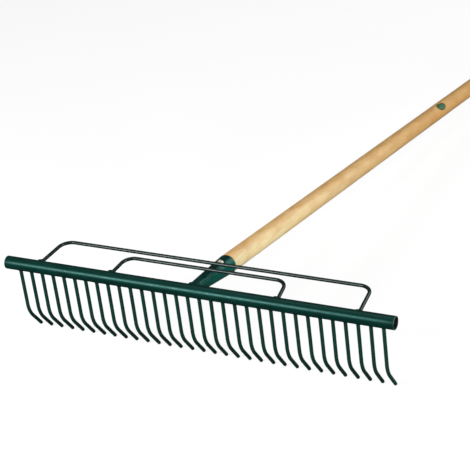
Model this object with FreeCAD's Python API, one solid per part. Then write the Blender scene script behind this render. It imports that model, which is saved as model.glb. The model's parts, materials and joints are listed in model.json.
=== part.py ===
"""Tubular-head hand rake: a steel tube carrying a row of bent wire teeth, two wire guards,
a conical socket and a long wooden handle.

The frame has its origin on the axis of the head tube, half way along it. +X runs along the
tube, +Y towards the handle and +Z up. The rake lies as it does on a floor: on the tips of its
teeth and on the end of its handle. The head is laid out square to the handle first, with the
handle along +Y, and the whole rake is then tilted about the tube to its resting slope.
"""
import FreeCAD, Part
import math
import os
from FreeCAD import Vector

# ---- driving dimensions: millimetres and degrees ----

# head tube
TOOTH_COUNT = 32
TOOTH_PITCH = 19.0
TUBE_OVERHANG = 20.0
TUBE_RADIUS = 10.0
TUBE_WALL = 1.5
TUBE_EDGE_BREAK = 0.3
TUBE_LENGTH = (TOOTH_COUNT - 1) * TOOTH_PITCH + 2 * TUBE_OVERHANG

# the teeth, guards, socket and handle share one middle, which is a little to the +X side of
# the tube's: the tube stands out further beyond the first tooth than beyond the last
HEAD_SHIFT = 1.5

# teeth: angles are measured from square below the handle, turning towards the handle
WIRE_RADIUS = 2.75
TOOTH_STRAIGHT = 61.5
TOOTH_ROOT_ANGLE = 11.0
TOOTH_TIP_ANGLE = 46.2
TOOTH_BEND_RADIUS = 43.0
TOOTH_TIP_LENGTH = 31.0

# guards: half widths at the feet and at the corners of the top run, where the straight
# lines of the wire would meet, then the top run's place behind and above the tube's axis
OUTER_GUARD = {"foot_x": 257.7, "corner_x": 252.4, "back": 65.0, "up": 20.2,
               "foot_angle": 44.5, "bend": 19.0}
INNER_GUARD = {"foot_x": 134.5, "corner_x": 130.6, "back": 42.4, "up": 19.0,
               "foot_angle": 56.5, "bend": 18.0}

# handle axis, parallel to +Y before the tilt
HANDLE_RISE = 2.0
HANDLE_RADIUS = 15.0
HANDLE_LENGTH = 1500.0
HANDLE_START = 26.0
HANDLE_SHOULDER = 6.0
HANDLE_END_ROUND = 9.0

# socket: a sheet cone round the handle's axis; its taper is given by its outer radius at the
# mouth and the radius it would have at the tube's axis
SOCKET_START = 3.0
SOCKET_MOUTH = 112.0
SOCKET_MOUTH_RADIUS = 15.1
SOCKET_AXIS_RADIUS = 8.7
SOCKET_WALL = 1.5
SOCKET_CLEARANCE = 0.05
SEAM_WIDTH = 2.4
SEAM_DEPTH = 0.8
SEAM_ANGLE = 52.0

# socket screw: a round-head wood screw set square to the handle
SCREW_PLACE = 85.0
SCREW_ANGLE = 14.0
SCREW_HEAD_RADIUS = 4.8
SCREW_HEAD_HEIGHT = 3.0
SCREW_SHANK_RADIUS = 2.2
SCREW_SHANK_LENGTH = 16.0
SCREW_HOLE_CLEARANCE = 0.3
SCREW_BED = 1.0

# weld beads
TOOTH_BEAD_WIDTH = 1.3
TOOTH_BEAD_HEIGHT = 1.8
GUARD_BEAD_RADIUS = 3.0
GUARD_BEAD_LENGTH = 8.0
SOCKET_BEAD_WIDTH = 2.2
SOCKET_BEAD_HEIGHT = 3.0

ORIGIN = Vector(0, 0, 0)
ALONG_TUBE = Vector(1, 0, 0)
ALONG_HANDLE = Vector(0, 1, 0)


def below(angle):
    """Unit vector pointing down from the tube, turned by an angle towards the handle."""
    turn = math.radians(angle)
    return Vector(0, math.sin(turn), -math.cos(turn))


def behind(angle):
    """Unit vector pointing from the tube to the handle's side, raised by an angle."""
    rise = math.radians(angle)
    return Vector(0, math.cos(rise), math.sin(rise))


def around_handle(angle):
    """Unit vector square to the handle, turned from straight up towards +X by an angle."""
    turn = math.radians(angle)
    return Vector(math.sin(turn), 0, math.cos(turn))


def on_handle(distance):
    """Point on the handle's axis at a distance from the tube's axis."""
    return Vector(0, distance, HANDLE_RISE)


def bent_rod(corners, radius, bend):
    """Round wire along straight runs between corners, with each inner corner bent to a radius."""
    edges = []
    start = corners[0]
    for before, corner, after in zip(corners, corners[1:], corners[2:]):
        back = (before - corner).normalize()
        ahead = (after - corner).normalize()
        half_angle = back.getAngle(ahead) / 2
        tangent = bend / math.tan(half_angle)
        middle = (back + ahead).normalize() * (bend / math.sin(half_angle) - bend)
        bend_start = corner + back * tangent
        bend_end = corner + ahead * tangent
        edges.append(Part.LineSegment(start, bend_start).toShape())
        edges.append(Part.Arc(bend_start, corner + middle, bend_end).toShape())
        start = bend_end
    edges.append(Part.LineSegment(start, corners[-1]).toShape())
    first_run = (corners[1] - corners[0]).normalize()
    section = Part.Wire(Part.makeCircle(radius, corners[0], first_run))
    return Part.Wire(edges).makePipeShell([section], True, True)


def tube_core():
    """Everything inside the tube's outer surface; pieces welded to the tube are cut to it."""
    return Part.makeCylinder(TUBE_RADIUS, TUBE_LENGTH, Vector(-TUBE_LENGTH / 2, 0, 0), ALONG_TUBE)


def head_tube():
    outer = tube_core()
    rims = []
    for edge in outer.Edges:
        if isinstance(edge.Curve, Part.Circle):
            rims.append(edge)
    outer = outer.makeChamfer(TUBE_EDGE_BREAK, rims)
    bore = Part.makeCylinder(TUBE_RADIUS - TUBE_WALL, TUBE_LENGTH,
                             Vector(-TUBE_LENGTH / 2, 0, 0), ALONG_TUBE)
    return outer.cut(bore)


def tooth_corners():
    """Root on the tube's axis, corner where the two straight runs meet, and the end of the tip."""
    half_bend = math.radians(TOOTH_TIP_ANGLE - TOOTH_ROOT_ANGLE) / 2
    tangent = TOOTH_BEND_RADIUS * math.tan(half_bend)
    corner = below(TOOTH_ROOT_ANGLE) * (TUBE_RADIUS + TOOTH_STRAIGHT + tangent)
    tip = corner + below(TOOTH_TIP_ANGLE) * (tangent + TOOTH_TIP_LENGTH)
    return ORIGIN, corner, tip


def tip_centre():
    """Centre of the half ball that ends each tooth."""
    return tooth_corners()[2] - below(TOOTH_TIP_ANGLE) * WIRE_RADIUS


def tooth_rod():
    """One tooth at the middle of the tube, running on to the tube's axis."""
    root, corner, _ = tooth_corners()
    rod = bent_rod([root, corner, tip_centre()], WIRE_RADIUS, TOOTH_BEND_RADIUS)
    return rod.fuse(Part.makeSphere(WIRE_RADIUS, tip_centre())).removeSplitter()


def tooth():
    return tooth_rod().cut(tube_core())


def tooth_bead():
    """Fillet weld round the root of one tooth."""
    down = below(TOOTH_ROOT_ANGLE)
    sunk = TUBE_RADIUS - TOOTH_BEAD_HEIGHT
    cone = Part.makeCone(WIRE_RADIUS + 2 * TOOTH_BEAD_WIDTH, WIRE_RADIUS,
                         2 * TOOTH_BEAD_HEIGHT, down * sunk, down)
    return cone.cut(tube_core()).cut(tooth_rod())


def tooth_places():
    first = -(TOOTH_COUNT - 1) / 2 * TOOTH_PITCH
    return [first + index * TOOTH_PITCH for index in range(TOOTH_COUNT)]


def moved_along_tube(shape, distance):
    copy = shape.copy()
    copy.translate(ALONG_TUBE * distance)
    return copy


def guard_corners(guard):
    """Foot, corner, corner and foot of a guard, with both feet run on into the tube."""
    run = Vector(0, guard["back"], guard["up"])
    foot = behind(guard["foot_angle"]) * TUBE_RADIUS
    left_foot = foot - ALONG_TUBE * guard["foot_x"]
    left_corner = run - ALONG_TUBE * guard["corner_x"]
    inwards = (left_foot - left_corner).normalize() * (TUBE_RADIUS - TUBE_WALL)
    left_end = left_foot + inwards
    right_end = Vector(-left_end.x, left_end.y, left_end.z)
    right_corner = Vector(-left_corner.x, left_corner.y, left_corner.z)
    return [left_end, left_corner, right_corner, right_end]


def guard_rod(guard):
    return bent_rod(guard_corners(guard), WIRE_RADIUS, guard["bend"])


def guard_hoop(guard):
    """One guard, cut to the tube; the stubs left on the far side of the tube's wall are dropped."""
    pieces = guard_rod(guard).cut(tube_core()).Solids
    return max(pieces, key=lambda piece: piece.Volume)


def guard_beads(guard):
    """Weld bead on the -X side of each of a guard's feet."""
    beads = []
    for side in (-1, 1):
        foot = behind(guard["foot_angle"]) * TUBE_RADIUS + ALONG_TUBE * (side * guard["foot_x"])
        far = foot - ALONG_TUBE * GUARD_BEAD_LENGTH
        bead = Part.makeCylinder(GUARD_BEAD_RADIUS, GUARD_BEAD_LENGTH, far, ALONG_TUBE)
        bead = bead.fuse([Part.makeSphere(GUARD_BEAD_RADIUS, far),
                          Part.makeSphere(GUARD_BEAD_RADIUS, foot)])
        bead = bead.cut(tube_core()).cut(guard_rod(guard))
        beads.append(max(bead.Solids, key=lambda piece: piece.Volume))
    return beads


def socket_radius(distance):
    """Outer radius of the socket at a distance from the tube's axis."""
    slope = (SOCKET_MOUTH_RADIUS - SOCKET_AXIS_RADIUS) / SOCKET_MOUTH
    return SOCKET_AXIS_RADIUS + slope * distance


def socket_cone(inset):
    """Solid cone inside the socket's outer surface by an inset, from its start to its mouth."""
    return Part.makeCone(socket_radius(SOCKET_START) - inset, SOCKET_MOUTH_RADIUS - inset,
                         SOCKET_MOUTH - SOCKET_START, on_handle(SOCKET_START), ALONG_HANDLE)


def screw_seat():
    """Point on the screw's axis under its head, and the direction that the head faces."""
    outwards = around_handle(SCREW_ANGLE)
    depth = socket_radius(SCREW_PLACE) - SCREW_BED
    return on_handle(SCREW_PLACE) + outwards * depth, outwards


def screw_bore(radius):
    """Cylinder on the screw's axis, from the tip of its shank to well outside the socket."""
    seat, outwards = screw_seat()
    tip = seat - outwards * SCREW_SHANK_LENGTH
    return Part.makeCylinder(radius, 2 * SCREW_SHANK_LENGTH, tip, outwards)


def seam_groove():
    """Groove left where the rolled sheet's two edges meet."""
    slope = math.atan2(SOCKET_MOUTH_RADIUS - SOCKET_AXIS_RADIUS, SOCKET_MOUTH)
    groove = Part.makeBox(SEAM_WIDTH, 1.1 * SOCKET_MOUTH, 2 * SOCKET_MOUTH_RADIUS,
                          Vector(-SEAM_WIDTH / 2, 0, 0))
    groove.rotate(ORIGIN, ALONG_TUBE, math.degrees(slope))
    groove.translate(Vector(0, 0, SOCKET_AXIS_RADIUS - SEAM_DEPTH))
    groove.rotate(ORIGIN, ALONG_HANDLE, SEAM_ANGLE)
    groove.translate(on_handle(0))
    return groove


def socket():
    shell = socket_cone(0).cut(socket_cone(SOCKET_WALL))
    shell = shell.cut(tube_core()).cut(seam_groove())
    shell = shell.cut(screw_bore(SCREW_SHANK_RADIUS + SCREW_HOLE_CLEARANCE))
    return max(shell.Solids, key=lambda piece: piece.Volume)


def socket_bead():
    """Fillet weld where the socket meets the tube."""
    toe = TUBE_RADIUS + SOCKET_BEAD_HEIGHT
    collar = Part.makeCone(socket_radius(SOCKET_START) + SOCKET_BEAD_WIDTH, socket_radius(toe),
                           toe - SOCKET_START, on_handle(SOCKET_START), ALONG_HANDLE)
    bead = collar.cut(tube_core()).cut(socket_cone(0))
    return max(bead.Solids, key=lambda piece: piece.Volume)


def socket_screw():
    """Round-head wood screw whose head is bedded on the socket's sheet."""
    seat, outwards = screw_seat()
    height = SCREW_BED + SCREW_HEAD_HEIGHT
    head = Part.makeCylinder(SCREW_HEAD_RADIUS, height, seat, outwards)
    crown = seat + outwards * height
    rim = []
    for edge in head.Edges:
        if isinstance(edge.Curve, Part.Circle) and edge.Curve.Center.isEqual(crown, 0.01):
            rim.append(edge)
    head = head.makeFillet(0.8 * SCREW_HEAD_HEIGHT, rim).cut(socket_cone(0))
    shank = Part.makeCylinder(SCREW_SHANK_RADIUS, SCREW_SHANK_LENGTH + height / 2,
                              seat - outwards * SCREW_SHANK_LENGTH, outwards)
    return head.fuse(shank).removeSplitter()


def handle():
    """Turned wooden shaft: a cone driven into the socket, a shoulder, and a long round shaft."""
    gap = SOCKET_WALL + SOCKET_CLEARANCE
    end = HANDLE_START + HANDLE_LENGTH
    corner = HANDLE_END_ROUND * (1 - math.sqrt(0.5))
    points = [
        Vector(0, HANDLE_START, 0),
        Vector(socket_radius(HANDLE_START) - gap, HANDLE_START, 0),
        Vector(socket_radius(SOCKET_MOUTH) - gap, SOCKET_MOUTH, 0),
        Vector(HANDLE_RADIUS, SOCKET_MOUTH + HANDLE_SHOULDER, 0),
        Vector(HANDLE_RADIUS, end - HANDLE_END_ROUND, 0),
    ]
    edges = [Part.LineSegment(a, b).toShape() for a, b in zip(points, points[1:])]
    round_end = Vector(HANDLE_RADIUS - HANDLE_END_ROUND, end, 0)
    edges.append(Part.Arc(points[-1], Vector(HANDLE_RADIUS - corner, end - corner, 0),
                          round_end).toShape())
    tail = Vector(0, end, 0)
    edges.append(Part.LineSegment(round_end, tail).toShape())
    edges.append(Part.LineSegment(tail, points[0]).toShape())
    shaft = Part.Face(Part.Wire(edges)).revolve(ORIGIN, ALONG_HANDLE, 360)
    shaft.translate(on_handle(0))
    return shaft.cut(screw_bore(SCREW_SHANK_RADIUS))


def rest_tilt():
    """Slope, in degrees, that brings the teeth's tips and the handle's end down to one floor."""
    tip = tip_centre()
    end = on_handle(HANDLE_START + HANDLE_LENGTH - HANDLE_END_ROUND)
    end.z -= HANDLE_RADIUS - HANDLE_END_ROUND
    rise = tip.z - end.z
    run = end.y - tip.y
    drop = math.asin((WIRE_RADIUS - HANDLE_END_ROUND) / math.hypot(rise, run))
    return math.degrees(drop - math.atan2(rise, run))


def build():
    """Every piece by name, square to the handle, before the tilt."""
    pieces = {
        "head_tube": head_tube(),
        "outer_guard": guard_hoop(OUTER_GUARD),
        "inner_guard": guard_hoop(INNER_GUARD),
        "guard_weld_beads": Part.makeCompound(guard_beads(OUTER_GUARD) + guard_beads(INNER_GUARD)),
        "socket": socket(),
        "socket_weld_bead": socket_bead(),
        "socket_screw": socket_screw(),
        "handle": handle(),
    }
    one_tooth = tooth()
    one_bead = tooth_bead()
    beads = []
    for number, place in enumerate(tooth_places(), start=1):
        pieces[f"tooth_{number:02d}"] = moved_along_tube(one_tooth, place)
        beads.append(moved_along_tube(one_bead, place))
    pieces["tooth_weld_beads"] = Part.makeCompound(beads)
    for name, shape in pieces.items():
        if name != "head_tube":
            pieces[name] = moved_along_tube(shape, HEAD_SHIFT)
    return pieces


def main():
    os.makedirs("parts", exist_ok=True)
    tilt = rest_tilt()
    for name, shape in build().items():
        shape.rotate(ORIGIN, ALONG_TUBE, -tilt)
        shape.exportStep(os.path.join("parts", name + ".step"))


main()
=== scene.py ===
"""Looks for a tubular-head rake: painted steel tube, teeth and guards, and a wooden handle.

Shapes are laid out in millimetres square to the handle, with the origin on the tube's axis,
+X along the tube, +Y along the handle and +Z up. LAY then tilts them to the rake's resting
slope and turns them into metres, which is the CAD model's frame.
"""
import bpy
import bmesh
import json
import math
import random
from mathutils import Matrix, Vector, noise

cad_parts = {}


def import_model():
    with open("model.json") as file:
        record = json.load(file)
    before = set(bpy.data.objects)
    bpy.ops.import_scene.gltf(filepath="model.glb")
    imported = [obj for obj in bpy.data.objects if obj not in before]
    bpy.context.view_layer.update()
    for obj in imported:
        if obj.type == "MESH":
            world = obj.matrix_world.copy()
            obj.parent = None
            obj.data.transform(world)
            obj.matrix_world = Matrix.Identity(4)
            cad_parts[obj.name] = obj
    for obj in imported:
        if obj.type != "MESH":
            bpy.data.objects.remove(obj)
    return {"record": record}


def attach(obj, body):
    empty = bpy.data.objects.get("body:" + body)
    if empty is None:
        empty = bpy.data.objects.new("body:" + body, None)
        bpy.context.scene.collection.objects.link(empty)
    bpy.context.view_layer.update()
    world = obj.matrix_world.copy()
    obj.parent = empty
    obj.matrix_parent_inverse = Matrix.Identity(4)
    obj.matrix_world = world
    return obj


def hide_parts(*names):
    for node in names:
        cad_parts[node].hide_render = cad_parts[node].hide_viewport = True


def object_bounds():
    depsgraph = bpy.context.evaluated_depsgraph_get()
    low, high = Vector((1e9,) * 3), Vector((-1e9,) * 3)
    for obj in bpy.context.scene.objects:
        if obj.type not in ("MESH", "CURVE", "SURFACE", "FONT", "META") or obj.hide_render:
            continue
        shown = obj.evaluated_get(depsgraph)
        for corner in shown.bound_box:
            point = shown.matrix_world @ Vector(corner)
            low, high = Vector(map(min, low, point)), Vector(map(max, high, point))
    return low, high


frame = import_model()
cad_low, cad_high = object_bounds()

# ---- sizes in millimetres and degrees, the same as the CAD model's ----
MM = 0.001
TOOTH_COUNT = 32
TOOTH_PITCH = 19.0
TUBE_RADIUS = 10.0
BORE_RADIUS = 8.5
TUBE_LENGTH = 629.0
HEAD_SHIFT = 1.5
WIRE_RADIUS = 2.75
TOOTH_STRAIGHT = 61.5
TOOTH_ROOT_ANGLE = 11.0
TOOTH_TIP_ANGLE = 46.2
TOOTH_BEND_RADIUS = 43.0
TOOTH_TIP_LENGTH = 31.0
OUTER_GUARD = {"foot_x": 257.7, "corner_x": 252.4, "back": 65.0, "up": 20.2,
               "foot_angle": 44.5, "bend": 19.0}
INNER_GUARD = {"foot_x": 134.5, "corner_x": 130.6, "back": 42.4, "up": 19.0,
               "foot_angle": 56.5, "bend": 18.0}
HANDLE_RISE = 2.0
HANDLE_RADIUS = 15.0
HANDLE_START = 26.0
HANDLE_END = 1526.0
HANDLE_SHOULDER = 6.0
HANDLE_END_ROUND = 9.0
SOCKET_START = 3.0
SOCKET_MOUTH = 112.0
SOCKET_MOUTH_RADIUS = 15.1
SOCKET_AXIS_RADIUS = 8.7
SOCKET_WALL = 1.5
SEAM_ANGLE = 52.0
SCREW_PLACE = 85.0
SCREW_ANGLE = 14.0
SCREW_HEAD_RADIUS = 4.8
SCREW_HEAD_HEIGHT = 3.0

# ---- sizes in millimetres and degrees that only the looks need ----
WIRE_SIDES = 28
WIRE_SUNK = 0.9
TOOTH_LEAN = 0.22
MOUTH_ROUND = 0.7
LIP_GAP = 1.5
LIP_RADIUS = 0.5
LIP_RISE = 0.35
SAPWOOD_FACING = 48.0

shaft_axis = next(m["axis"] for m in frame["record"]["mounts"] if m["name"] == "handle_shaft")
TILT = math.atan2(-shaft_axis[2], shaft_axis[1])
LAY = Matrix.Rotation(-TILT, 3, "X") * MM

ALONG_TUBE = Vector((1, 0, 0))
ALONG_HANDLE = Vector((0, 1, 0))
UP = Vector((0, 0, 1))
dice = random.Random(7)


# ---- mesh building ----

def below(angle):
    """Unit vector down from the tube, turned by an angle towards the handle."""
    turn = math.radians(angle)
    return Vector((0, math.sin(turn), -math.cos(turn)))


def behind(angle):
    """Unit vector from the tube to the handle's side, raised by an angle."""
    rise = math.radians(angle)
    return Vector((0, math.cos(rise), math.sin(rise)))


def around_handle(angle):
    """Unit vector square to the handle, turned from straight up towards +X by an angle."""
    turn = math.radians(angle)
    return Vector((math.sin(turn), 0, math.cos(turn)))


def on_handle(distance):
    """Point on the handle's axis."""
    return Vector((0, distance, HANDLE_RISE))


def smooth_step(low, high, value):
    """Climbs smoothly from 0 at low to 1 at high."""
    share = min(1.0, max(0.0, (value - low) / (high - low)))
    return share * share * (3 - 2 * share)


def lumps(point, size, seed):
    """Smooth noise between about -1 and 1, with lumps of a size in the point's own unit."""
    return noise.noise(point / size + Vector((seed, 1.7 * seed, -seed)))


class Net:
    """Vertices and faces gathered from rings of points, each face with a material index."""

    def __init__(self):
        self.points = []
        self.faces = []
        self.looks = []

    def add_rings(self, rings, loop=False, look=0, looks=None):
        """Joins rings of equal length. A loop joins the last ring to the first; otherwise
        caps close both ends. looks gives each ring's own look up to the next ring."""
        start = len(self.points)
        count = len(rings[0])
        for ring in rings:
            self.points.extend(ring)
        spans = len(rings) if loop else len(rings) - 1
        for row in range(spans):
            here = start + row * count
            there = start + (row + 1) % len(rings) * count
            row_look = looks[row] if looks else look
            for col in range(count):
                beside = (col + 1) % count
                self.faces.append((here + col, here + beside, there + beside, there + col))
                self.looks.append(row_look)
        if not loop:
            last = start + (len(rings) - 1) * count
            self.faces.append(tuple(range(start, start + count)))
            self.faces.append(tuple(range(last, last + count)))
            self.looks.extend([look, looks[-1] if looks else look])


def make_piece(name, net, materials, nodes=(), crease=60.0, aside=HEAD_SHIFT):
    """Makes a net into a smooth-shaded object that rides on the rake. aside moves it along the
    tube: the teeth, guards and handle share a middle a little off the tube's."""
    mesh = bpy.data.meshes.new(name)
    mesh.from_pydata([LAY @ (point + ALONG_TUBE * aside) for point in net.points], [], net.faces)
    for material in materials:
        mesh.materials.append(material)
    mesh.polygons.foreach_set("material_index", net.looks)
    work = bmesh.new()
    work.from_mesh(mesh)
    bmesh.ops.recalc_face_normals(work, faces=work.faces)
    work.to_mesh(mesh)
    work.free()
    mesh.polygons.foreach_set("use_smooth", [True] * len(mesh.polygons))
    mesh.set_sharp_from_angle(angle=math.radians(crease))
    mesh.update()
    piece = bpy.data.objects.new(name, mesh)
    bpy.context.collection.objects.link(piece)
    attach(piece, "root")
    if nodes:
        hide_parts(*nodes)
    return piece


def ring_round(centre, side, up, radius, count):
    """Circle of points round a centre, from the direction side towards the direction up."""
    points = []
    for step in range(count):
        turn = 2 * math.pi * step / count
        points.append(centre + (side * math.cos(turn) + up * math.sin(turn)) * radius)
    return points


def bent_path(corners, bend, run_steps, bend_steps):
    """Points and directions along straight runs with rounded corners between them."""
    stops = []
    start = corners[0]
    for before, corner, after in zip(corners, corners[1:], corners[2:]):
        back = (before - corner).normalized()
        ahead = (after - corner).normalized()
        half = back.angle(ahead) / 2
        tangent = bend / math.tan(half)
        first = corner + back * tangent
        centre = corner + (back + ahead).normalized() * (bend / math.sin(half))
        for step in range(run_steps):
            stops.append((start.lerp(first, step / run_steps), -back))
        spread = math.pi - 2 * half
        axis = ahead.cross(back).normalized()
        for step in range(bend_steps + 1):
            turn = Matrix.Rotation(spread * step / bend_steps, 3, axis)
            stops.append((centre + turn @ (first - centre), turn @ -back))
        start = corner + ahead * tangent
    run = (corners[-1] - start).normalized()
    for step in range(1, run_steps + 1):
        stops.append((start.lerp(corners[-1], step / run_steps), run))
    return stops


def wire_rings(stops, plane_normal):
    """Round wire along a path that lies in one plane."""
    rings = []
    for place, heading in stops:
        up = heading.cross(plane_normal).normalized()
        rings.append(ring_round(place, plane_normal, up, WIRE_RADIUS, WIRE_SIDES))
    return rings


# ---- materials ----

class Look:
    """A material under construction, with short ways to add and join its nodes."""

    def __init__(self, name):
        self.material = bpy.data.materials.new(name)
        self.material.use_nodes = True
        self.nodes = self.material.node_tree.nodes
        self.links = self.material.node_tree.links
        self.shader = self.nodes["Principled BSDF"]
        self.place = self.add("ShaderNodeTexCoord").outputs["Object"]

    def add(self, kind, **values):
        node = self.nodes.new(kind)
        for key, value in values.items():
            setattr(node, key, value)
        return node

    def join(self, output, socket):
        self.links.new(output, socket)

    def feed(self, **sources):
        """Joins node outputs to the shader's own sockets."""
        for key, source in sources.items():
            self.join(source, self.shader.inputs[key.replace("_", " ")])

    def settle(self, **values):
        """Sets the shader's own sockets."""
        for key, value in values.items():
            self.shader.inputs[key.replace("_", " ")].default_value = value

    def mapped(self, scale, turn=(0, 0, 0), shift=(0, 0, 0)):
        """Object coordinates, scaled, turned and shifted."""
        node = self.add("ShaderNodeMapping")
        node.inputs["Scale"].default_value = scale
        node.inputs["Rotation"].default_value = turn
        node.inputs["Location"].default_value = shift
        self.join(self.place, node.inputs["Vector"])
        return node.outputs["Vector"]

    def axis(self, vector, letter):
        """One coordinate of a vector."""
        node = self.add("ShaderNodeSeparateXYZ")
        self.join(vector, node.inputs["Vector"])
        return node.outputs[letter]

    def noise(self, scale, detail, vector=None):
        """Cloudy noise. In unmapped coordinates a scale of 1000 gives lumps of a millimetre."""
        node = self.add("ShaderNodeTexNoise")
        node.inputs["Scale"].default_value = scale
        node.inputs["Detail"].default_value = detail
        self.join(vector or self.place, node.inputs["Vector"])
        return node.outputs["Fac"]

    def ramp(self, source, stops):
        """Colour ramp; stops are (place, (red, green, blue))."""
        node = self.add("ShaderNodeValToRGB")
        elements = node.color_ramp.elements
        elements[0].position, elements[1].position = stops[0][0], stops[-1][0]
        elements[0].color, elements[1].color = (*stops[0][1], 1), (*stops[-1][1], 1)
        for place, colour in stops[1:-1]:
            elements.new(place).color = (*colour, 1)
        self.join(source, node.inputs["Fac"])
        return node.outputs["Color"]

    def spread(self, source, low, high, from_low=0.0, from_high=1.0):
        """Stretches a source's range from_low to from_high over low to high."""
        node = self.add("ShaderNodeMapRange")
        node.inputs["From Min"].default_value = from_low
        node.inputs["From Max"].default_value = from_high
        node.inputs["To Min"].default_value = low
        node.inputs["To Max"].default_value = high
        self.join(source, node.inputs["Value"])
        return node.outputs["Result"]

    def total(self, first, second):
        node = self.add("ShaderNodeMath", operation="ADD")
        self.join(first, node.inputs[0])
        self.join(second, node.inputs[1])
        return node.outputs["Value"]

    def mix(self, share, first, second):
        """Mixes two colours, each a node's output or a (red, green, blue)."""
        node = self.add("ShaderNodeMix", data_type="RGBA")
        self.join(share, node.inputs[0])
        for socket, colour in ((node.inputs[6], first), (node.inputs[7], second)):
            if isinstance(colour, tuple):
                socket.default_value = (*colour, 1)
            else:
                self.join(colour, socket)
        return node.outputs[2]

    def bump(self, heights):
        """Chains bumps; heights are (source, strength, depth in metres)."""
        last = None
        for source, strength, depth in heights:
            node = self.add("ShaderNodeBump")
            node.inputs["Strength"].default_value = strength
            node.inputs["Distance"].default_value = depth
            self.join(source, node.inputs["Height"])
            if last:
                self.join(last, node.inputs["Normal"])
            last = node.outputs["Normal"]
        self.feed(Normal=last)


ENAMEL_IOR = 1.31


def enamel(name, deep, light, glint, gloss, speckle, painted_light_side=None):
    """Gloss enamel: slightly uneven colour, faint orange peel, dust nibs and uneven gloss.

    glint tints the reflection, gloss is the lowest and highest roughness, and speckle is how
    strong the dust nibs are. The last argument is a lighter colour that the paint turns to towards
    the +X side: painted light on that side."""
    look = Look(name)
    tone = look.ramp(look.noise(38.0, 4.0), [(0.3, deep), (0.7, light)])
    if painted_light_side:
        # painted light: the paint turns lighter towards +X, standing in for the light on the
        # socket's flank
        painted_light_share = look.spread(look.axis(look.place, "X"), 0.0, 1.0, 0.006, 0.013)
        tone = look.mix(painted_light_share, tone, painted_light_side)
    flecks = look.spread(look.noise(2600.0, 2.0), 0.0, speckle, 0.62, 0.8)
    look.feed(Base_Color=look.mix(flecks, tone, light),
              Roughness=look.spread(look.noise(120.0, 5.0), *gloss, 0.3, 0.7))
    look.settle(Specular_Tint=(*glint, 1), IOR=ENAMEL_IOR)
    look.bump([(look.noise(520.0, 2.0), 0.07, 0.00010),
               (look.noise(1900.0, 3.0), 0.05, 0.00004),
               (look.noise(70.0, 2.0), 0.05, 0.0003)])
    return look.material


def bare_rim():
    """Cut steel at the tube's ends, thinly covered by paint."""
    look = Look("cut_steel_rim")
    cover = look.spread(look.noise(260.0, 4.0), 0.0, 1.0, 0.42, 0.62)
    steel = (0.16, 0.19, 0.18)
    paint = (0.006, 0.05, 0.042)
    look.feed(Base_Color=look.mix(cover, steel, paint),
              Roughness=look.spread(look.noise(900.0, 3.0), 0.32, 0.5),
              Metallic=look.spread(cover, 0.7, 0.0))
    look.bump([(look.noise(1400.0, 3.0), 0.25, 0.0001)])
    return look.material


def dark_bore():
    """Inside of the tube: mill scale with a little overspray in patches."""
    look = Look("tube_bore_scale")
    look.feed(Base_Color=look.ramp(look.noise(180.0, 6.0), [(0.3, (0.004, 0.005, 0.005)),
                                                            (0.7, (0.014, 0.02, 0.018))]),
              Roughness=look.spread(look.noise(420.0, 4.0), 0.65, 0.85))
    look.settle(Specular_IOR_Level=0.2)
    look.bump([(look.noise(700.0, 5.0), 0.35, 0.0002)])
    return look.material


def growth_rings(look, upright):
    """Bands of the wood's growth rings, round a pith beside the handle."""
    wave = look.add("ShaderNodeTexWave", wave_type="RINGS", rings_direction="Y",
                    wave_profile="SAW")
    wave.inputs["Scale"].default_value = 58.0
    wave.inputs["Distortion"].default_value = 2.6
    wave.inputs["Detail"].default_value = 2.0
    wave.inputs["Detail Scale"].default_value = 0.6
    look.join(look.mapped((1.0, 0.06, 1.0), upright, (0.021, 0.0, 0.034)), wave.inputs["Vector"])
    return wave.outputs["Fac"]


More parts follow.
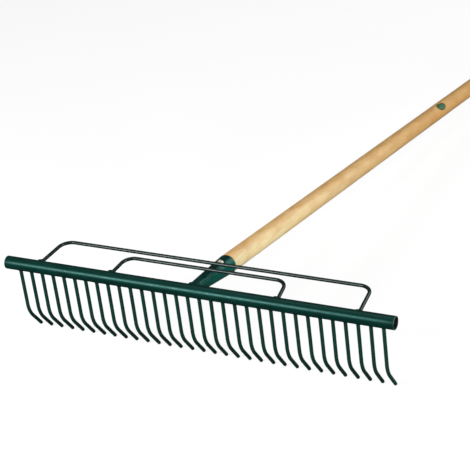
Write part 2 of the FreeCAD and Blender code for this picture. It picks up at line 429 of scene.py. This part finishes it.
def handle_timber():
    """Pale turned hardwood: growth rings, long fibres, short pores and a thin varnish.

    The wood is creamy near the socket and turns to tan along the shaft. Its +X side is
    sapwood, paler than the heartwood on the other side."""
    look = Look("handle_timber")
    upright = (TILT, 0, 0)
    wander = look.noise(16.0, 2.0, look.mapped((1.0, 0.11, 1.0), upright))
    fibres = look.noise(1.0, 4.0, look.mapped((620.0, 9.0, 620.0), upright))
    streaks = look.noise(1.0, 3.0, look.mapped((150.0, 2.2, 150.0), upright))
    specks = look.noise(1.0, 1.0, look.mapped((1500.0, 85.0, 1500.0), upright))
    mottle = look.noise(1.0, 3.0, look.mapped((75.0, 24.0, 75.0), upright))
    pores = look.spread(specks, 0.0, 1.0, 0.66, 0.74)
    late = look.spread(growth_rings(look, upright), 0.0, 0.20, 0.55, 1.0)

    def tone(dark, middle, pale):
        return look.ramp(mottle, [(0.3, dark), (0.5, middle), (0.72, pale)])

    along = look.spread(look.axis(look.place, "Y"), 0.0, 1.0, 0.12, 0.95)
    sapwood = look.mix(along,
                       tone((0.70, 0.52, 0.25), (0.77, 0.63, 0.34), (0.80, 0.70, 0.41)),
                       tone((0.53, 0.295, 0.100), (0.59, 0.335, 0.118), (0.64, 0.38, 0.15)))
    heartwood = look.mix(along,
                         tone((0.70, 0.40, 0.150), (0.78, 0.49, 0.210), (0.82, 0.57, 0.28)),
                         tone((0.59, 0.33, 0.110), (0.65, 0.39, 0.145), (0.70, 0.44, 0.18)))
    facing = look.mapped((1.0, 1.0, 1.0), (TILT, -math.radians(SAPWOOD_FACING), 0))
    edge = look.total(look.axis(facing, "X"), look.spread(wander, -0.004, 0.004))
    body = look.mix(look.spread(edge, 0.0, 1.0, -0.009, 0.002), heartwood, sapwood)
    for share, colour in ((late, (0.46, 0.24, 0.09)),
                          (look.spread(wander, 0.0, 0.16, 0.45, 0.75), (0.60, 0.34, 0.14)),
                          (look.spread(streaks, 0.0, 0.16, 0.50, 0.75), (0.50, 0.28, 0.11)),
                          (look.spread(fibres, 0.0, 0.18, 0.45, 0.75), (0.45, 0.24, 0.10)),
                          (look.spread(pores, 0.0, 0.35), (0.22, 0.11, 0.045))):
        body = look.mix(share, body, colour)
    look.feed(Base_Color=body, Roughness=look.spread(fibres, 0.38, 0.56, 0.3, 0.7))
    look.settle(Coat_Weight=0.08, Coat_Roughness=0.40, Specular_IOR_Level=0.25)
    look.bump([(fibres, 0.22, 0.0002), (pores, -0.3, 0.0002), (late, 0.12, 0.0001)])
    return look.material


def zinc():
    """Bright plated screw with a warm passivated cast."""
    look = Look("bright_zinc")
    look.feed(Base_Color=look.ramp(look.noise(900.0, 4.0), [(0.3, (0.74, 0.68, 0.52)),
                                                            (0.7, (0.92, 0.89, 0.80))]),
              Roughness=look.spread(look.noise(1600.0, 3.0), 0.42, 0.55))
    look.settle(Metallic=0.75)
    look.bump([(look.noise(2600.0, 2.0), 0.12, 0.00005)])
    return look.material


def transfer_ink(name, deep, light):
    """Ink of the plain oval mark on the handle, worn through to the wood in specks."""
    look = Look(name)
    tone = look.ramp(look.noise(420.0, 4.0), [(0.3, deep), (0.7, light)])
    worn = look.spread(look.noise(1300.0, 3.0), 0.0, 0.5, 0.58, 0.75)
    look.feed(Base_Color=look.mix(worn, tone, (0.45, 0.30, 0.13)),
              Roughness=look.spread(look.noise(600.0, 2.0), 0.35, 0.5))
    look.settle(Coat_Weight=0.2, Coat_Roughness=0.3)
    look.bump([(look.noise(1500.0, 2.0), 0.1, 0.00005)])
    return look.material


TUBE_PAINT = enamel("green_enamel_tube", (0.0009, 0.0160, 0.0125), (0.0016, 0.023, 0.0180),
                    glint=(0.38, 1.0, 0.90), gloss=(0.31, 0.41), speckle=0.35)
# The socket's paint is a little lighter than the tube's and turns lighter still towards its +X
# flank: painted light on that side.
SOCKET_PAINT = enamel("green_enamel_socket", (0.0008, 0.020, 0.0155), (0.0014, 0.029, 0.0230),
                      glint=(0.35, 1.0, 0.92), gloss=(0.28, 0.38), speckle=0.35,
                      painted_light_side=(0.0035, 0.085, 0.066))
# The seam's lips are a much lighter, glossier green than the socket: painted highlights along the
# two lips.
SEAM_LIP_PAINTED_HIGHLIGHT = enamel("seam_lips_painted_highlight", (0.020, 0.115, 0.095), (0.035, 0.150, 0.125),
                   glint=(0.60, 1.0, 0.92), gloss=(0.22, 0.32), speckle=0.35)
# The teeth's paint is lighter than the tube's: painted light, brightening the thin wires as a
# whole.
TOOTH_PAINT = enamel("green_enamel_teeth", (0.0048, 0.028, 0.0210), (0.0070, 0.037, 0.0285),
                     glint=(0.50, 1.0, 0.90), gloss=(0.30, 0.42), speckle=0.35)
GUARD_PAINT = enamel("grey_green_enamel_guards", (0.0045, 0.0105, 0.0098),
                     (0.008, 0.0155, 0.0142), glint=(0.85, 1.0, 0.97), gloss=(0.22, 0.32),
                     speckle=0.30)
WELD_PAINT = enamel("green_enamel_welds", (0.0009, 0.0130, 0.0103), (0.0018, 0.020, 0.0158),
                    glint=(0.3, 1.0, 0.88), gloss=(0.30, 0.45), speckle=0.5)
RIM = bare_rim()
BORE = dark_bore()
TIMBER = handle_timber()
ZINC = zinc()
INK = transfer_ink("transfer_ink", (0.018, 0.100, 0.042), (0.040, 0.160, 0.070))
BORDER_INK = transfer_ink("transfer_border_ink", (0.025, 0.05, 0.012), (0.05, 0.09, 0.025))


# ---- head tube ----

def rim_profile(side):
    """Places and radii round the end of the tube's wall, from its skin to its bore."""
    outer_round, inner_round = 0.55, 0.3
    outer_steps, inner_steps = 5, 3
    half = TUBE_LENGTH / 2
    profile = []
    for step in range(outer_steps + 1):
        turn = math.pi / 2 * step / outer_steps
        profile.append((side * (half - outer_round + outer_round * math.sin(turn)),
                        TUBE_RADIUS - outer_round + outer_round * math.cos(turn)))
    for step in range(inner_steps + 1):
        turn = math.pi / 2 * step / inner_steps
        profile.append((side * (half - inner_round + inner_round * math.cos(turn)),
                        BORE_RADIUS + inner_round - inner_round * math.sin(turn)))
    return profile


def tube_profile():
    """Place, radius and look of each ring round the tube's wall: along the bore to the -X
    end, back along the skin to the +X end and into the bore again."""
    skin, rim, bore = 0, 1, 2
    half = TUBE_LENGTH / 2
    shares = (0.0, 0.3, 0.6, 0.8, 0.95)
    near = rim_profile(-1)[::-1]
    far = rim_profile(1)
    profile = [(half * share, BORE_RADIUS, bore) for share in reversed(shares)]
    profile += [(*corner, rim) for corner in near[:-1]]
    profile += [(*near[-1], skin)]
    profile += [(-half * share, TUBE_RADIUS, skin) for share in reversed(shares[1:])]
    profile += [(half * share, TUBE_RADIUS, skin) for share in shares]
    profile += [(*corner, rim) for corner in far[:-1]]
    profile += [(*far[-1], bore)]
    return profile


def head_tube():
    """Tube wall turned round the tube's axis, with worn-round rims and the tube's own
    weld flash running along the bore."""
    sides = 144
    flash_angle, flash_height = 215.0, 0.45
    flash_flat, flash_foot = 2.0, 7.0
    rings = []
    looks = []
    for place, radius, look in tube_profile():
        on_bore = radius < BORE_RADIUS + 0.01
        ring = []
        for col in range(sides):
            turn = 2 * math.pi * col / sides
            flash = 0.0
            if on_bore:
                off = abs(math.degrees(turn) - flash_angle)
                flash = flash_height * (1 - smooth_step(flash_flat, flash_foot, off))
            ring.append(Vector((place, (radius - flash) * math.cos(turn),
                                (radius - flash) * math.sin(turn))))
        rings.append(ring)
        looks.append(look)
    net = Net()
    net.add_rings(rings, loop=True, looks=looks)
    return make_piece("head_tube_painted", net, [TUBE_PAINT, RIM, BORE],
                      ["head_tube"], crease=50.0, aside=0.0)


# ---- teeth ----

def tooth_corners():
    """Root, bend corner and tip of a tooth in the middle of the tube."""
    half_bend = math.radians(TOOTH_TIP_ANGLE - TOOTH_ROOT_ANGLE) / 2
    tangent = TOOTH_BEND_RADIUS * math.tan(half_bend)
    corner = below(TOOTH_ROOT_ANGLE) * (TUBE_RADIUS + TOOTH_STRAIGHT + tangent)
    tip = corner + below(TOOTH_TIP_ANGLE) * (tangent + TOOTH_TIP_LENGTH - WIRE_RADIUS)
    return below(TOOTH_ROOT_ANGLE) * (TUBE_RADIUS - WIRE_SUNK), corner, tip


def tooth_rings():
    """One tooth in the middle of the tube: bent wire whose cut end has its edge knocked off."""
    stops = bent_path(tooth_corners(), TOOTH_BEND_RADIUS, run_steps=10, bend_steps=18)
    rings = wire_rings(stops, ALONG_TUBE)
    place, heading = stops[-1]
    up = heading.cross(ALONG_TUBE).normalized()
    edge_round, flat_end, end_steps = 1.4, 1.9, 6
    end = []
    for step in range(1, end_steps + 1):
        turn = math.pi / 2 * step / end_steps
        end.append((flat_end - edge_round + edge_round * math.sin(turn),
                    WIRE_RADIUS - edge_round + edge_round * math.cos(turn)))
    end += [(flat_end + 0.04, 0.8), (flat_end + 0.06, 0.3)]
    for reach, radius in end:
        rings.append(ring_round(place + heading * reach, ALONG_TUBE, up, radius, WIRE_SIDES))
    return rings


def tooth_place(index):
    return ALONG_TUBE * ((index - (TOOTH_COUNT - 1) / 2) * TOOTH_PITCH)


def teeth():
    """Every tooth, each leaning a fraction of a degree sideways as hand-set wire does."""
    master = tooth_rings()
    for index in range(TOOTH_COUNT):
        angle = math.radians(dice.uniform(-TOOTH_LEAN, TOOTH_LEAN))
        lean = Matrix.Rotation(angle, 3, "Y")
        rings = []
        for ring in master:
            rings.append([lean @ point + tooth_place(index) for point in ring])
        net = Net()
        net.add_rings(rings)
        make_piece(f"tooth_wire_{index + 1:02d}", net, [TOOTH_PAINT],
                   [f"tooth_{index + 1:02d}"])


def tooth_welds():
    """Uneven fillet of weld round the root of each tooth. Its section gives distances out
    from the wire and down from the tube's skin."""
    sides = 40
    section = [(-0.25, 1.9), (0.12, 1.75), (0.38, 1.1), (0.68, 0.5), (1.0, 0.12), (1.18, -0.2),
               (0.6, -0.5), (-0.25, -0.6)]
    widening, unevenness = 1.3, 0.32
    down = below(TOOTH_ROOT_ANGLE)
    across = down.cross(ALONG_TUBE).normalized()
    net = Net()
    for index in range(TOOTH_COUNT):
        middle = tooth_place(index)
        seed = dice.uniform(0, 50)
        rings = []
        for out, rise in section:
            ring = []
            for col in range(sides):
                turn = 2 * math.pi * col / sides
                side = ALONG_TUBE * math.cos(turn) + across * math.sin(turn)
                swell = 1 + unevenness * lumps(side * 4, 2.4, seed)
                reach = WIRE_RADIUS + out * widening * swell
                height = rise * (swell if rise > 0 else 1)
                skin = math.sqrt(TUBE_RADIUS ** 2 - (reach * math.sin(turn)) ** 2)
                ring.append(middle + side * reach + down * (skin + height))
            rings.append(ring)
        net.add_rings(rings, loop=True)
    return make_piece("tooth_welds", net, [WELD_PAINT], ["tooth_weld_beads"],
                      crease=70.0)


# ---- guards ----

def guard_foot(shape, side):
    return behind(shape["foot_angle"]) * TUBE_RADIUS + ALONG_TUBE * side * shape["foot_x"]


def guard(name, shape, node):
    """Wire hoop bent at two corners, with both feet sunk into the tube's wall."""
    run = Vector((0, shape["back"], shape["up"]))
    corners = []
    for side in (-1, 1):
        foot = guard_foot(shape, side)
        corner = run + ALONG_TUBE * side * shape["corner_x"]
        sunk = foot + (foot - corner).normalized() * WIRE_SUNK
        corners.extend([sunk, corner] if side < 0 else [corner, sunk])
    normal = (corners[0] - corners[1]).cross(corners[2] - corners[1]).normalized()
    stops = bent_path(corners, shape["bend"], run_steps=24, bend_steps=22)
    net = Net()
    net.add_rings(wire_rings(stops, normal))
    return make_piece(name, net, [GUARD_PAINT], [node])


def weld_lump(middle, outwards, half_sizes, seed):
    """Uneven egg of weld on the tube. half_sizes run along the tube, across it and outwards."""
    rows, cols = 26, 30
    length, width, height = half_sizes
    across = outwards.cross(ALONG_TUBE).normalized()
    rings = []
    for row in range(1, rows):
        lift = math.pi * row / rows
        ring = []
        for col in range(cols):
            turn = 2 * math.pi * col / cols
            way = Vector((math.cos(lift), math.sin(lift) * math.cos(turn),
                          math.sin(lift) * math.sin(turn)))
            ripple = 0.035 * math.sin(way.x * length * 3.4 + seed)
            swell = 1 + 0.13 * lumps(way * 6, 3.0, seed) + ripple
            ring.append(middle + (ALONG_TUBE * way.x * length + across * way.y * width
                                  + outwards * way.z * height) * swell)
        rings.append(ring)
    return rings


def guard_welds():
    """Lump of weld at each guard foot, mostly on its -X side, and a thin collar round the
    wire. Each is given as its shift along the tube and its half sizes."""
    sunk = 0.5
    left_lump = (-1.4, (6.6, 3.3, 3.2))
    right_lump = (-3.4, (4.6, 3.0, 2.0))
    collar = (-0.2, (3.9, 3.7, 2.1))
    net = Net()
    for shape in (OUTER_GUARD, INNER_GUARD):
        outwards = behind(shape["foot_angle"])
        for side, lump in ((-1, left_lump), (1, right_lump)):
            foot = guard_foot(shape, side)
            seed = dice.uniform(0, 50)
            for shift, half_sizes in (lump, collar):
                middle = foot + ALONG_TUBE * shift - outwards * sunk
                net.add_rings(weld_lump(middle, outwards, half_sizes, seed))
    return make_piece("guard_welds", net, [WELD_PAINT], ["guard_weld_beads"],
                      crease=75.0)


# ---- socket ----

def socket_radius(distance):
    """Outer radius of the plain cone."""
    slope = (SOCKET_MOUTH_RADIUS - SOCKET_AXIS_RADIUS) / SOCKET_MOUTH
    return SOCKET_AXIS_RADIUS + slope * distance


def tube_skin(offset, inset=0.0):
    """How far behind the tube's axis its skin is, at a height above that axis."""
    inside = (TUBE_RADIUS - inset) ** 2 - offset ** 2
    return math.sqrt(max(inside, SOCKET_START ** 2))


def seam_relief(gap):
    """Height of the socket's sheet at a distance from the seam: a groove with rolled lips."""
    groove_depth, lip_height, lip_width = 0.7, 0.45, 0.6
    groove = groove_depth * (1 - smooth_step(0.4, 1.1, gap))
    lips = lip_height * math.exp(-((gap - LIP_GAP) / lip_width) ** 2)
    return lips - groove


def socket_angles():
    """Angles round the socket in degrees, closer together at the seam and the screw."""
    angles = {round(3.0 * step, 3) for step in range(120)}
    for step in range(-32, 33):
        angles.add(round(SEAM_ANGLE + 0.55 * step, 3))
    for step in range(-20, 21):
        angles.add(round(SCREW_ANGLE + 1.25 * step, 3))
    return sorted({angle % 360 for angle in angles})


def arc_from(middle, angle, radius):
    """Distance round the socket from one angle to another, less than half way round."""
    return math.radians((angle - middle + 180) % 360 - 180) * radius


def sheet_radius(distance, angle):
    """Outer radius of the rolled and pressed sheet, kept inside the CAD model's mouth."""
    limit = SOCKET_MOUTH_RADIUS - 0.01
    dimple_depth, dimple_size = 0.75, 5.2
    pinch_depth, pinch_place = 0.12, 104
    radius = socket_radius(distance)
    # the seam closes up towards the screw
    fade = 1 - 0.75 * smooth_step(58, 84, distance)
    radius += seam_relief(abs(arc_from(SEAM_ANGLE, angle, radius))) * fade
    from_screw = math.hypot(arc_from(SCREW_ANGLE, angle, radius), distance - SCREW_PLACE)
    radius -= dimple_depth * math.exp(-(from_screw / dimple_size) ** 4)
    radius += 0.05 * lumps(Vector((angle / 6, distance, 0)), 26.0, 3.0)
    radius -= pinch_depth * math.exp(-((distance - pinch_place) / 3.0) ** 2)
    return min(radius, limit)


def inner_radius(distance, _angle):
    """Inner radius of the sheet, the same all round."""
    return socket_radius(distance) - SOCKET_WALL


def socket_ring(share, radius_at):
    """Ring round the socket, a share of the way from the tube to the mouth's rounded edge."""
    inset = 0.8
    ring = []
    for angle in socket_angles():
        out = around_handle(angle)
        start = tube_skin(HANDLE_RISE + out.z * socket_radius(SOCKET_START), inset)
        place = start + (SOCKET_MOUTH - MOUTH_ROUND - start) * share
        ring.append(on_handle(place) + out * radius_at(place, angle))
    return ring


def seam_lip(side):
    """Rounded edge of the sheet on one side of the seam, coloured a much lighter green as a
    painted highlight. It sinks into the cone towards the screw."""
    steps, first, last = 30, 12.0, 78.0
    sinks_from, depth = 56.0, 0.5
    rings = []
    for step in range(steps + 1):
        place = first + (last - first) * step / steps
        radius = socket_radius(place)
        out = around_handle(SEAM_ANGLE + side * math.degrees(LIP_GAP / radius))
        sunk = depth * smooth_step(sinks_from, last, place)
        centre = on_handle(place) + out * (radius + LIP_RISE - sunk)
        rings.append(ring_round(centre, out, out.cross(ALONG_HANDLE), LIP_RADIUS, 14))
    return rings


def socket():
    """Cone rolled from sheet: open seam, dimple under the screw, rounded mouth."""
    outer_steps, mouth_steps, bore_steps = 84, 8, 8
    half_wall = SOCKET_WALL / 2
    rings = [socket_ring(step / outer_steps, sheet_radius) for step in range(outer_steps + 1)]
    for step in range(1, mouth_steps):
        turn = math.pi * step / mouth_steps
        place = SOCKET_MOUTH - MOUTH_ROUND + MOUTH_ROUND * math.sin(turn)
        ring = []
        for angle in socket_angles():
            radius = sheet_radius(SOCKET_MOUTH, angle) - half_wall
            ring.append(on_handle(place)
                        + around_handle(angle) * (radius + half_wall * math.cos(turn)))
        rings.append(ring)
    rings += [socket_ring(1 - step / bore_steps, inner_radius) for step in range(bore_steps + 1)]
    net = Net()
    net.add_rings(rings, loop=True)
    for side in (-1, 1):
        net.add_rings(seam_lip(side), look=1)
    return make_piece("socket_sheet", net, [SOCKET_PAINT, SEAM_LIP_PAINTED_HIGHLIGHT], ["socket"])


def socket_weld():
    """Rippled weld round the socket's foot, where it meets the tube. Its section gives
    distances out from the cone and behind the tube's skin."""
    sides = 150
    section = [(-0.35, 3.1), (0.1, 2.95), (0.55, 2.3), (1.1, 1.35), (1.7, 0.5), (2.15, -0.1),
               (2.0, -0.7), (0.6, -0.7), (-0.35, -0.5)]
    ripple_height, ripple_count = 0.07, 34
    unevenness = 0.22
    rings = []
    for out, rise in section:
        ring = []
        for col in range(sides):
            angle = 360 * col / sides
            side = around_handle(angle)
            ripple = ripple_height * math.sin(math.radians(angle) * ripple_count)
            swell = 1 + unevenness * lumps(side * 9, 3.2, 11.0) + (ripple if rise > 0 else 0)
            reach = socket_radius(SOCKET_START) + out * swell
            skin = tube_skin(HANDLE_RISE + side.z * reach)
            ring.append(on_handle(skin + (rise * swell if rise > 0 else rise)) + side * reach)
        rings.append(ring)
    net = Net()
    net.add_rings(rings, loop=True)
    return make_piece("socket_weld", net, [WELD_PAINT], ["socket_weld_bead"],
                      crease=75.0)


def socket_screw():
    """Domed screw head with a cross recess, and its shank down through the sheet."""
    sides, dome_steps = 96, 30
    bedded, edge = 1.0, 0.9
    recess_depth, recess_turn = 1.5, 0.5
    slot_width, slot_length = (0.35, 0.62), (1.9, 2.7)
    # radii and heights of the shank and of the head's underside and edge
    stem = ((2.2, -16.0), (2.2, -0.4), (4.4, -0.2), (4.75, 0.15), (SCREW_HEAD_RADIUS, edge))
    out = around_handle(SCREW_ANGLE)
    side = ALONG_HANDLE.cross(out).normalized()
    seat = on_handle(SCREW_PLACE) + out * (socket_radius(SCREW_PLACE) - bedded)
    dome = SCREW_HEAD_HEIGHT + bedded
    rings = []
    for radius, height in stem:
        rings.append(ring_round(seat + out * height, side, ALONG_HANDLE, radius, sides))
    for step in range(1, dome_steps + 1):
        radius = SCREW_HEAD_RADIUS * (1 - (step / (dome_steps + 1)) ** 1.25)
        share = radius / SCREW_HEAD_RADIUS
        crown = edge + (dome - edge) * math.sqrt(max(0.0, 1 - share ** 2.4))
        ring = []
        for col in range(sides):
            turn = 2 * math.pi * (col + 0.5) / sides
            cross, length = sorted((abs(radius * math.cos(turn + recess_turn)),
                                    abs(radius * math.sin(turn + recess_turn))))
            slot = ((1 - smooth_step(*slot_width, cross))
                    * (1 - smooth_step(*slot_length, length)))
            ring.append(seat + out * (crown - recess_depth * slot)
                        + (side * math.cos(turn) + ALONG_HANDLE * math.sin(turn)) * radius)
        rings.append(ring)
    net = Net()
    net.add_rings(rings)
    return make_piece("screw_head", net, [ZINC], ["socket_screw"], crease=45.0)


# ---- handle ----

def handle_profile():
    """Places and radii along the handle, from inside the socket to the free end. The end is
    cut a hair short, to stay inside the CAD model's."""
    gap = SOCKET_WALL + 0.05
    shoulder_steps, shaft_steps, end_steps = 8, 70, 12
    profile = [(HANDLE_START, socket_radius(HANDLE_START) - gap),
               (SOCKET_MOUTH - 4, socket_radius(SOCKET_MOUTH - 4) - gap),
               (SOCKET_MOUTH - 0.5, socket_radius(SOCKET_MOUTH) - gap)]
    low = socket_radius(SOCKET_MOUTH) - gap
    for step in range(1, shoulder_steps + 1):
        share = step / shoulder_steps
        profile.append((SOCKET_MOUTH + HANDLE_SHOULDER * share,
                        low + (HANDLE_RADIUS - low) * math.sin(share * math.pi / 2)))
    shaft_start = SOCKET_MOUTH + HANDLE_SHOULDER
    end_cut = HANDLE_END - 0.02
    shaft_end = end_cut - HANDLE_END_ROUND
    for step in range(1, shaft_steps + 1):
        place = shaft_start + (shaft_end - shaft_start) * step / shaft_steps
        profile.append((place, HANDLE_RADIUS))
    for step in range(1, end_steps + 1):
        turn = math.pi / 2 * step / end_steps
        profile.append((shaft_end + HANDLE_END_ROUND * math.sin(turn),
                        HANDLE_RADIUS - HANDLE_END_ROUND * (1 - math.cos(turn))))
    return profile + [(end_cut, radius) for radius in (4.0, 2.0, 0.6)]


def handle():
    """Turned shaft: a cone in the socket, a soft shoulder at its mouth and a rounded end."""
    sides = 120
    net = Net()
    net.add_rings([ring_round(on_handle(place), ALONG_TUBE, UP, radius, sides)
                   for place, radius in handle_profile()])
    return make_piece("handle_shaft_wood", net, [TIMBER], ["handle"])


def transfer():
    """Plain green oval with a darker border, printed on the shaft. Its profile gives shares
    of the oval's half sizes and heights above the wood."""
    middle, facing = 1018.0, 34.0
    half_length, half_width = 18.0, 8.5
    border, film = 0.8, 0.06
    sides = 64
    profile = [(1.0, -0.1), (1.0, film / 2), (0.985, film)]
    profile += [(share, film) for share in (border, 0.6, 0.4, 0.2, 0.05)]
    rings = []
    for share, lift in profile:
        ring = []
        for col in range(sides):
            turn = 2 * math.pi * col / sides
            arc = half_width * share * math.sin(turn) / HANDLE_RADIUS
            out = around_handle(facing + math.degrees(arc))
            place = middle + half_length * share * math.cos(turn)
            ring.append(on_handle(place) + out * (HANDLE_RADIUS + lift))
        rings.append(ring)
    net = Net()
    net.add_rings(rings, looks=[1 if share > border else 0 for share, lift in profile])
    return make_piece("oval_transfer", net, [INK, BORDER_INK])


head_tube()
teeth()
tooth_welds()
guard("outer_guard_wire", OUTER_GUARD, "outer_guard")
guard("inner_guard_wire", INNER_GUARD, "inner_guard")
guard_welds()
socket()
socket_weld()
socket_screw()
handle()
transfer()


# ---- floor, lights and camera, in metres ----

def floor():
    """Plain pale floor at the rake's lowest point. Most of its brightness is its own glow. It
    gives none of its light back to the rake, so that the paint keeps its dark undersides."""
    look = Look("pale_floor")
    look.feed(Base_Color=look.ramp(look.noise(3.0, 2.0), [(0.3, (0.20, 0.20, 0.20)),
                                                          (0.7, (0.21, 0.21, 0.21))]))
    look.settle(Roughness=0.9, Specular_IOR_Level=0.1)
    look.settle(Emission_Color=(1, 1, 1, 1), Emission_Strength=0.83)
    half = 40.0
    height = cad_low.z
    mesh = bpy.data.meshes.new("floor")
    mesh.from_pydata([(-half, -half, height), (half, -half, height), (half, half, height),
                      (-half, half, height)], [], [(0, 1, 2, 3)])
    mesh.materials.append(look.material)
    plane = bpy.data.objects.new("floor", mesh)
    bpy.context.collection.objects.link(plane)
    plane.visible_diffuse = False
    plane.visible_glossy = False


def softbox(name, towards, width, height, power):
    """Area light in a direction from the head, facing it. The power is in watts."""
    aim = Vector((0.0, 0.15, 0.0))
    distance = 3.0
    way = Vector(towards).normalized()
    data = bpy.data.lights.new(name, "AREA")
    data.shape = "RECTANGLE"
    data.size = width
    data.size_y = height
    data.energy = power
    lamp = bpy.data.objects.new(name, data)
    lamp.location = aim + way * distance
    lamp.rotation_mode = "QUATERNION"
    lamp.rotation_quaternion = (-way).to_track_quat("-Z", "Y")
    bpy.context.collection.objects.link(lamp)


def world(strength):
    """Even white light from all round."""
    space = bpy.data.worlds.new("studio")
    bpy.context.scene.world = space
    space.use_nodes = True
    background = space.node_tree.nodes["Background"]
    background.inputs["Color"].default_value = (1, 1, 1, 1)
    background.inputs["Strength"].default_value = strength


def camera():
    """Camera from the front and a little to the right, looking 23 degrees down. The tube's
    middle is below and to the left of the view's."""
    azimuth = math.radians(27.677)
    elevation = math.radians(23.073)
    roll = math.radians(-3.636)
    place = Vector((1.1011, -1.9531, 1.0375))
    back = Vector((math.sin(azimuth) * math.cos(elevation),
                   -math.cos(azimuth) * math.cos(elevation), math.sin(elevation)))
    level = Vector((math.cos(azimuth), math.sin(azimuth), 0))
    upright = back.cross(level)
    right = level * math.cos(roll) + upright * math.sin(roll)
    up = back.cross(right)
    data = bpy.data.cameras.new("camera")
    data.sensor_width = 36.0
    data.lens = 131.54
    data.clip_start = 0.05
    data.clip_end = 200.0
    body = bpy.data.objects.new("camera", data)
    turn = Matrix((right, up, back)).transposed().to_4x4()
    body.matrix_world = Matrix.Translation(place) @ turn
    bpy.context.collection.objects.link(body)
    bpy.context.scene.camera = body


floor()
softbox("key_softbox", (-0.43, -0.84, 0.34), width=0.9, height=0.85, power=112.0)
softbox("top_softbox", (-0.2, 0.1, 1.0), width=1.8, height=1.8, power=18.0)
softbox("back_softbox", (0.60, 0.80, 0.55), width=1.6, height=1.2, power=34.0)
softbox("side_softbox", (0.95, -0.25, 0.02), width=1.8, height=1.4, power=150.0)
world(0.07)
camera()
bpy.context.scene.view_settings.view_transform = "Standard"
